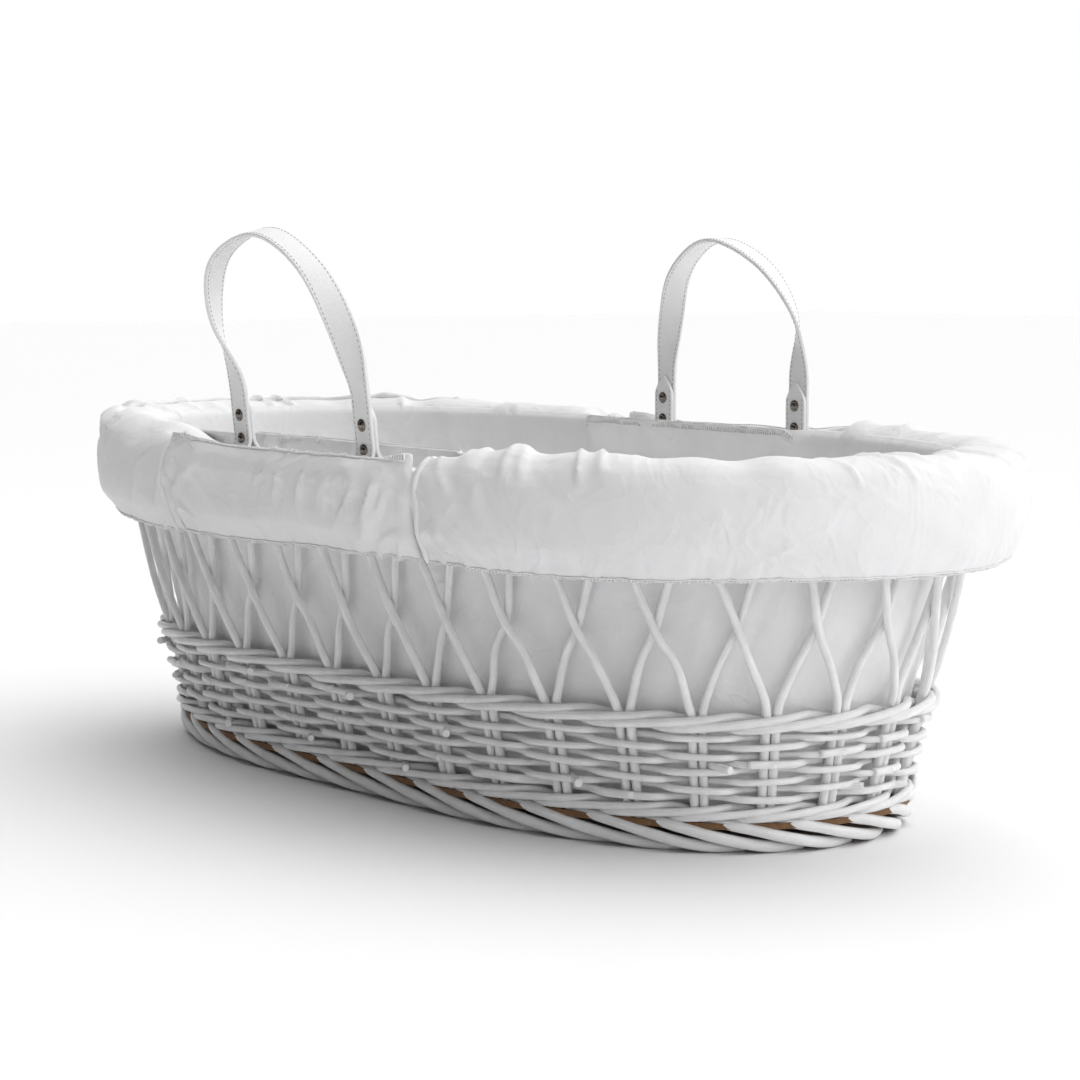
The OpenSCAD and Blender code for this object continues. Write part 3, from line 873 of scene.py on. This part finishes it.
def linerWall():
    # a lofted shell: up the wall, past the rim, and leaning in as a free lip along the handle slots;
    # each outline is (out from the rim's centre line, height) in mm, first its back and then its front
    runs = np.linspace(0, lapRun, 420, endpoint=False)
    share = slotShare(runs)[:, None]
    low = np.array([linerLow, 0.05, 0.08, 0.11, 0.14, 0.17, 0.195, linerBend])
    wallBack = np.column_stack([wall(low) - linerIn, low])
    wallFace = wallBack - [cloth["pad"] - 0.001, 0]
    shapes = []
    for back, front in (
            # under the skirts the top laps over the skirt's inner edge
            ([(-13.5, 222), (-13.5, 232), (-17.5, 243), (-17.5, 250), (-14.5, 253.2)],
             [(-19.5, 222), (-20.6, 232), (-21.4, 243), (-20.6, 250), (-15.5, 254.8)]),
            # along a slot it leans in as a free lip
            ([(-17.0, 224), (-19.5, 233), (-22.0, 241), (-24.0, 249), (-24.6, 254.2)],
             [(-22.5, 224), (-25.0, 233), (-27.2, 241), (-29.0, 249), (-29.4, 254.2)])):
        shapes.append([smoothThrough(np.vstack([lower, np.array(upper) * mm]), 6)
                       for lower, upper in ((wallBack, back), (wallFace, front))])
    n, m = len(runs), len(shapes[0][0])
    backs, fronts = ([shapes[0][k][None] * (1 - share[..., None]) + shapes[1][k][None] * share[..., None]
                      for k in (0, 1)])
    z = fronts[..., 1]
    bow = 0.004 * share * ease(z, 0.225, 0.257)
    run = np.broadcast_to(runs[:, None], (n, m))
    lapped = np.minimum(run, lapRun - run)
    fade = ease(z, 0.03, 0.06)
    wrinkles = 0.0030 * streaks(run, z, 1.40, 0.16, 0.030, 5)
    wrinkles = wrinkles + ridges(run, z, (0.0034, 1.15, 0.12, 0.022, 0.2), 6)
    wrinkles = wrinkles + ridges(run, z, (0.0036, 1.75, 0.10, 0.026, 0.18), 16) * ease(z, 0.12, 0.20)
    wrinkles = wrinkles * fade * ease(lapped, 0, 0.02) * (1 - ease(z, 0.225, 0.236) * (1 - share))
    back, front = (onOval(runs[:, None], surface[..., 0] - bow - np.abs(wrinkles) * 0.6 - 0.0002,
                          surface[..., 1]) for surface in (backs, fronts))
    grid = np.concatenate([back, front[:, ::-1]], 1)
    piece = makePiece("linerWall", "basket", cotton, grid.reshape(-1, 3),
                      gridFaces(n, 2 * m, wrapColumns=True, wrapRows=True))
    recalcFaces(piece)
    return piece


liner = linerWall()
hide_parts("liner_wall")


def ovalPad(name, body, material, out, low, high, crown, roundness, rings=26):
    # rings scaled from the middle out to the oval edge, rounded over and closed underneath
    runs = np.linspace(0, lapRun, 240, endpoint=False)
    edge = onOval(runs, out - roundness, 0)[:, :2]
    t = np.linspace(0, 1, rings)[1:]
    turn = np.linspace(0, math.pi, 13)[1:-1]
    middle = (low + high) / 2
    half = (high - low) / 2
    normal = outwards(runs)[:, :2]
    layers = []
    for k in t:
        dimple = 0.0006 * valueNoise(edge[:, 0] * k / 0.03 + 9, edge[:, 1] * k / 0.03 + 9, 31)
        z = high + crown * (1 - k ** 4) * 0.6 - crown * 0.6 + dimple * (crown > 0)
        layers.append(np.column_stack([edge * k, np.broadcast_to(z, len(runs))]))
    for a in turn:
        layers.append(np.column_stack([edge + normal * roundness * math.sin(a),
                                       np.full(len(runs), middle + half * math.cos(a))]))
    for k in t[::-1]:
        layers.append(np.column_stack([edge * k, np.full(len(runs), low)]))
    grid = np.stack(layers)
    points = np.vstack([grid.reshape(-1, 3), [[0, 0, layers[0][:, 2].mean()]], [[0, 0, low]]])
    faces = gridFaces(len(layers), len(runs), wrapColumns=True)
    m, last = len(runs), len(layers) - 1
    j = np.arange(m)
    faces += np.stack([j, (j + 1) % m, np.full(m, len(points) - 2)], -1).tolist()
    faces += np.stack([last * m + (j + 1) % m, last * m + j, np.full(m, len(points) - 1)], -1).tolist()
    piece = makePiece(name, body, material, points, faces)
    recalcFaces(piece)
    return piece


floorLow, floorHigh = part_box("liner_floor")
bedLow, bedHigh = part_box("mattress_cover")
linerFloor = ovalPad("linerFloor", "basket", cotton, floorHigh.y - halfW,
                     floorLow.z, floorHigh.z, 0, 0.0019)
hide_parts("liner_floor")
mattress = ovalPad("mattressCover", "mattress", bedCotton, bedHigh.y - halfW,
                   bedLow.z, bedHigh.z, 0.002, 0.010)
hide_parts("mattress_cover")


def pipingRods():
    # the mattress cover's two corded edges
    runs = np.linspace(0, lapRun, 300, endpoint=False)
    return [(onOval(runs, bedHigh.y - halfW - 0.0035, z), 0.0018, outwards(runs))
            for z in (bedLow.z + 0.005, bedHigh.z - 0.0042)]


rodPiece("mattressPiping", "mattress", bedCotton, pipingRods(), 8, closed=True)
print("liner and mattress made")

# ---- Hems: overlocked edges ----

stitch = {"pitch": 0.0024, "tall": 0.0046, "thread": 0.00058}


def hemEdge(run):
    # the skirt's lower edge, where settle() leaves it
    return cloth["hemOut"] - 0.0003 + hemSway(run), cloth["hem"] + hemLift(run)


sewnCloth.append(liner)
corners, polygons = [], []
for piece in sewnCloth:
    base = sum(len(c) for c in corners)
    corners.append(readVertices(piece.data))
    polygons += [[base + i for i in face.vertices] for face in piece.data.polygons]
clothTree = BVHTree.FromPolygons(np.vstack(corners).tolist(), polygons)


def layOn(points, lift):
    # each point moved on to the nearest cloth, and lifted clear of it
    found = [clothTree.find_nearest(Vector(p)) for p in points]
    return np.array([list(place + normal * lift) for place, normal, face, far in found])


def hemRods(start, end, edge, sign, lean):
    # short slanted threads over an edge, and a chain thread along their tops and their feet
    def laid(run, up, thick):
        out, z = edge(run)
        path = onOval(run, out + lean * up * stitch["tall"], z + sign * up * stitch["tall"])
        return layOn(path, stitch["thread"]), stitch["thread"] * thick, outwards(run)

    t = np.linspace(0, 1, 4)
    count = int((end - start) / stitch["pitch"])
    slant = (t - 0.5) * stitch["pitch"] * 0.7
    rods = [laid(start + (k + 0.5) * stitch["pitch"] + slant, t, 1) for k in range(count)]
    chain = np.arange(start + 0.001, end - 0.001, 0.004)
    return rods + [laid(chain, 1.0, 0.9), laid(chain, 0.0, 0.8)]


def flapTopEdge(run):
    return np.full_like(run, 0.0292), np.full_like(run, cloth["flapTop"] + 0.0018)


def lipEdge(run):
    share = slotShare(np.mod(run, lapRun))
    return -0.0244 - 0.004 * share - cloth["pad"] + 0.001, 0.2425 + (0.2545 - 0.2425) * share


hemList = []
gaps = ((nearHeadRun, nearFootRun), (farFootRun, farHeadRun))
spans = (gaps[0], (nearFootRun, farFootRun + lapRun), gaps[1], (farHeadRun, nearHeadRun))
for start, end in spans:
    hemList += hemRods(start + 0.001, end - 0.001, hemEdge, 1, 0.42)
for start, end in gaps:
    hemList += hemRods(start + 0.003, end - 0.003, flapTopEdge, -1, 0.15)
    hemList += hemRods(start + 0.010, end - 0.010, lipEdge, -1, 0.05)
rodPiece("hemStitching", "basket", thread, hemList, 5)


def seamRods():
    # a raised welt down the skirt at each end of a slot, from the roof to the hem, smoothed along its way
    rods = []
    window = np.ones(9) / 9
    thick = 0.0021 * (1 - 0.4 * ease(np.abs(np.linspace(-1, 1, 60)), 0.85, 1))
    for run, side in ((nearHeadRun, -1), (nearFootRun, 1), (farHeadRun, 1), (farFootRun, -1)):
        path = evenly(smoothThrough(skirtOuter[4:], 8), 60)
        bend = np.sin(np.linspace(0, math.pi, 60))
        s = run + side * (0.0052 + 0.0030 * bend)
        out, z = path[:, 0], path[:, 1]
        low = hemShare(out, z)
        out, z = out + hemSway(s) * low, z + hemLift(s) * low
        laid = layOn(onOval(s, out + 0.002, z), 0.0003)
        rods.append((smoothAlong(laid, window), thick, outwards(s)))
    return rods


seams = rodPiece("slotSeams", "basket", cotton, seamRods(), 10)
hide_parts("slot_seams")
print("hems and seams made")

# ---- Handles ----

# each strap's way over its hoop as (share of half the leg gap, share of the height, turn in degrees)
nearWay = np.array([(-1, 0, 0), (-1, 0.05, 2), (-1.15, 0.42, 55), (-0.88, 0.82, 85), (-0.05, 1, 90),
                    (0.6, 0.78, 88), (0.92, 0.38, 50), (1, 0.05, 2), (1, 0, 0)])
farWay = np.array([(-1, 0, 0), (-1, 0.05, 2), (-0.95, 0.35, 35), (-0.8, 0.76, 78), (-0.28, 1, 90),
                   (0.46, 0.82, 88), (0.93, 0.44, 56), (1, 0.05, 2), (1, 0, 0)])
handles = {
    "near": {"side": -1, "tilt": 6.0, "lean": 7.0, "way": nearWay, "height": 0.110},
    "far": {"side": 1, "tilt": 0.0, "lean": 0.0, "way": farWay, "height": 0.103},
}


def placeHandle(points, side, tilt):
    # local (x, outward, up from the rim's centre) tilted about the rim and set on its side
    t = math.radians(tilt)
    out = points[..., 1] * math.cos(t) + points[..., 2] * math.sin(t)
    up = -points[..., 1] * math.sin(t) + points[..., 2] * math.cos(t)
    return np.stack([points[..., 0], side * (halfW + out), rimH + up], -1)


def strapPath(setup):
    # from the point inside, down round the rim, up outside, over the hoop and back the same way
    half = legs["ply"] / 2
    around = 0.00806 + half
    angle = np.radians(np.linspace(150, 390, 25))
    inside = [(-half, 0.040), (-half, 0.026), (-half - 0.0002, 0.0165), (-0.0048, 0.0100)]
    keys = [(-half, legs["tip"])] + inside
    keys += [(around * math.cos(a), around * math.sin(a)) for a in angle]
    keys += [(-y, z) for y, z in inside[::-1]] + [(half, legs["fold"] - 0.002)]
    leg = evenly(smoothThrough(keys, 6), 76)
    slope = unit(np.gradient(leg, axis=0))
    legFace = np.stack([np.zeros(len(leg)), slope[:, 1], -slope[:, 0]], -1)
    legPoints = np.column_stack([np.zeros(len(leg)), leg])
    way = smoothThrough(setup["way"], 22)
    centre = np.column_stack([way[:, 0] * legs["gap"] / 2, np.zeros(len(way)),
                              way[:, 1] * setup["height"] + 0.002])
    tangent = unit(np.gradient(centre, axis=0))
    up = unit(np.cross(tangent, [0, 1, 0]))
    turn = np.radians(way[:, 2])[:, None]
    face = np.cos(turn) * np.array([0, 1, 0]) + np.sin(turn) * up
    lean = math.radians(setup["lean"])
    c, s = math.cos(lean), math.sin(lean)
    bend = np.array([[1, 0, 0], [0, c, s], [0, -s, c]])
    hoop = centre @ bend.T + np.array([legs["shift"], half, legs["fold"]])
    face = face @ bend.T
    low = legPoints + [legX[0], 0, 0]
    high = legPoints[::-1] + [legX[1], 0, 0]
    both = np.hstack([np.vstack([low, hoop, high]), np.vstack([legFace, face, legFace[::-1]])])
    both = both[np.concatenate([[True], np.linalg.norm(np.diff(both[:, :3], axis=0), axis=1) > 0.0004])]
    along = lengthAlong(both[:, :3])
    both = sampleAlong(both, np.linspace(0, along[-1], 420), along)
    window = np.hanning(27)
    soft = smoothAlong(both, window / window.sum())
    share = ease(both[:, 2], legs["fold"] - 0.010, legs["fold"] + 0.004)[:, None]
    share = share * (both[:, 1:2] > 0)
    both = both * (1 - share) + soft * share
    return both[:, :3], unit(both[:, 3:])


def strapWidths(path):
    # the full width, drawn in to a point over each riveted tip
    point = 0.014
    drop = np.clip((legs["tip"] - path[:, 2]) / point, 0, 1)
    shape = np.maximum(1 - (1 - drop) ** 1.55, 0.05)
    ends = np.minimum(np.arange(len(path)), np.arange(len(path))[::-1]) < 40
    return legs["width"] / 2 * np.where(ends, shape, 1)


# the strap's section as shares of half its width and half its thickness, grooved along the stitching
halfSection = [(1, 0.45), (0.985, 0.85), (0.94, 1), (0.80, 0.93), (0.66, 1)]
backToFront = halfSection[::-1]
strapSection = np.array([(-x, -y) for x, y in halfSection] + [(0, -1)] + [(x, -y) for x, y in backToFront]
                        + halfSection + [(0, 1.06)] + [(-x, y) for x, y in backToFront])


def makeStrap(label, setup):
    path, face = strapPath(setup)
    tangent = unit(np.gradient(path, axis=0))
    face = unit(face - (face * tangent).sum(1, keepdims=True) * tangent)
    across = np.cross(tangent, face)
    width = strapWidths(path)
    thick = legs["ply"] / 2 - 0.0001
    ring = (path[:, None] + strapSection[None, :, 0, None] * width[:, None, None] * across[:, None]
            + strapSection[None, :, 1, None] * thick * face[:, None])
    strap = tubePiece(label + "Strap", leatherette,
                      placeHandle(ring, setup["side"], setup["tilt"]))
    rods = []
    along = lengthAlong(path)
    pitchAlong, length = 0.0036, 0.0025
    for sign in (-1, 1):
        for top in (-1, 1):
            for k in range(int((along[-1] - 0.008) / pitchAlong)):
                s = 0.004 + k * pitchAlong + np.linspace(0, length, 4)
                p = sampleAlong(path, s, along)
                a = unit(sampleAlong(across, s, along))
                f = unit(sampleAlong(face, s, along))
                w = np.interp(s, along, width)[:, None]
                sink = np.array([-0.0003, 0.0001, 0.0001, -0.0003])[:, None]
                if w.min() < 0.0075:
                    continue
                q = p + a * sign * (w - 0.0020) + f * top * (thick * 0.93 + sink)
                laid, above = (placeHandle(v, setup["side"], setup["tilt"]) for v in (q, q + f))
                rods.append((laid, 0.00030, above - laid))
    sewn = rodPiece(label + "StrapStitching", None, strapThread, rods, 5)
    if setup["side"] < 0:
        recalcFaces(sewn)
    for piece in (strap, sewn):
        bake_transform(piece)
    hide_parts(label + "_strap_loops", label + "_strap_hoop")


# half of a rivet head's section as (radius, height) in mm: a dome standing in a flat washer
rivetCurve = np.array([(0.0, 2.35), (0.7, 2.33), (1.6, 2.15), (2.4, 1.75), (2.9, 1.25), (3.05, 0.95),
                       (3.3, 0.80), (3.8, 0.80), (4.2, 0.65), (4.4, 0.35), (4.4, 0.0), (0.0, 0.0)]) * mm


def makeRivets(label, setup):
    # a turned profile spun round each shank: outer heads, and caps on the inside
    spin = 2 * math.pi * np.arange(32) / 32
    for name, node, way in (("RivetHeads", "_rivet_heads", 1), ("RivetCaps", "_rivet_caps", -1)):
        points, faces = [], []
        for x in legX:
            for h in legs["rivets"]:
                r, lift = rivetCurve[:, 0][:, None], rivetCurve[:, 1][:, None]
                out = way * (legs["ply"] + 0.00005 + lift)
                local = np.stack(np.broadcast_arrays(x + r * np.cos(spin), out, h + r * np.sin(spin)), -1)
                base = sum(len(p) for p in points)
                points.append(placeHandle(local, setup["side"], setup["tilt"]).reshape(-1, 3))
                faces += [[base + i for i in f] for f in gridFaces(len(rivetCurve), 32, wrapColumns=True)]
        piece = makePiece(label + name, label + "_loops", nickel, np.vstack(points), faces)
        recalcFaces(piece)
        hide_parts(label + node)


for label, setup in handles.items():
    makeStrap(label, setup)
    makeRivets(label, setup)
print("handles made")

# ---- CAD nodes that stay as they are ----

for node, material in (("base_board", hardboard), ("rim_hoop", willow), ("mattress_core", bedCotton)):
    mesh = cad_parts[node].data
    mesh.materials.clear()
    mesh.materials.append(material)

# ---- Floor, light and camera ----

studio = {
    "floor": (0.965, 0.965, 0.97),
    "world": 1.0,
    "dark": 0.04,
    "overhead": 1.75,
    "key": 4.5,
    "fill": 5.0,
    "top": 3.0,
}
floorMaterial, look, place = newMaterial("studioFloor")
look.surface(look.ramp(look.noise(place, 3.0, 2.0), (0.0, studio["floor"]),
                       (1.0, tuple(c * 0.995 for c in studio["floor"]))),
             0.9, Specular_IOR_Level=0.1)
floorMesh = bpy.data.meshes.new("studioFloor")
floorMesh.from_pydata([(-12, -12, 0), (12, -12, 0), (12, 12, 0), (-12, 12, 0)], [], [(0, 1, 2, 3)])
floorMesh.materials.append(floorMaterial)
floor = bpy.data.objects.new("studioFloor", floorMesh)
bpy.context.scene.collection.objects.link(floor)

world = bpy.data.worlds.new("studio")
bpy.context.scene.world = world
world.use_nodes = True
look = Look(world.node_tree)
worldPlace = look.add("TexCoord", out="Generated")


def worldShade(towards, low, high, dark, bright):
    # the room's brightness by how far a direction points this way
    along = look.add("VectorMath", {0: worldPlace, 1: towards}, "Value", operation="DOT_PRODUCT")
    return look.span(along, low, high, dark, bright)


# darker towards the near side, and brighter overhead
level = worldShade((0.12, 0.95, 0.25), -0.35, 0.25, studio["dark"], studio["world"])
lift = worldShade((0, 0, 1), 0.35, 0.80, 1.0, studio["overhead"])
sky = look.nodes["Background"]
sky.inputs["Color"].default_value = (1, 1, 1, 1)
look.links.new(look.math("MULTIPLY", level, lift), sky.inputs["Strength"])


def softLight(name, place, target, size, power):
    data = bpy.data.lights.new(name, "AREA")
    data.shape = "RECTANGLE"
    data.size, data.size_y = size
    data.energy = power
    lamp = bpy.data.objects.new(name, data)
    direction = np.array(target, float) - np.array(place, float)
    lamp.location = place
    lamp.rotation_euler = Vector(direction).to_track_quat("-Z", "Y").to_euler()
    bpy.context.scene.collection.objects.link(lamp)


softLight("keyLight", (2.2, 1.5, 1.3), (0.1, 0, 0.12), (1.4, 1.4), studio["key"])
softLight("frontFill", (2.3, -1.0, 0.8), (0.1, 0, 0.12), (1.6, 1.2), studio["fill"])
softLight("topLight", (-0.2, 0.5, 2.4), (0, 0, 0.1), (2.2, 1.6), studio["top"])

view = {"focal": 2842, "pitch": 5.78, "turn": 51.46, "roll": 0.134, "place": (1.6580, -1.2980, 0.3858)}
cameraData = bpy.data.cameras.new("camera")
cameraData.sensor_width = 36
cameraData.lens = 36 * view["focal"] / 1080
camera = bpy.data.objects.new("camera", cameraData)
bpy.context.scene.collection.objects.link(camera)
camera.location = view["place"]
aim = Euler((math.radians(90 - view["pitch"]), 0, math.radians(view["turn"])), "XYZ").to_quaternion()
camera.rotation_mode = "QUATERNION"
camera.rotation_quaternion = aim @ Quaternion((0, 0, 1), math.radians(view["roll"]))
cameraData.clip_start = 0.05
cameraData.clip_end = 60
bpy.context.scene.camera = camera
bpy.context.scene.view_settings.view_transform = "Standard"
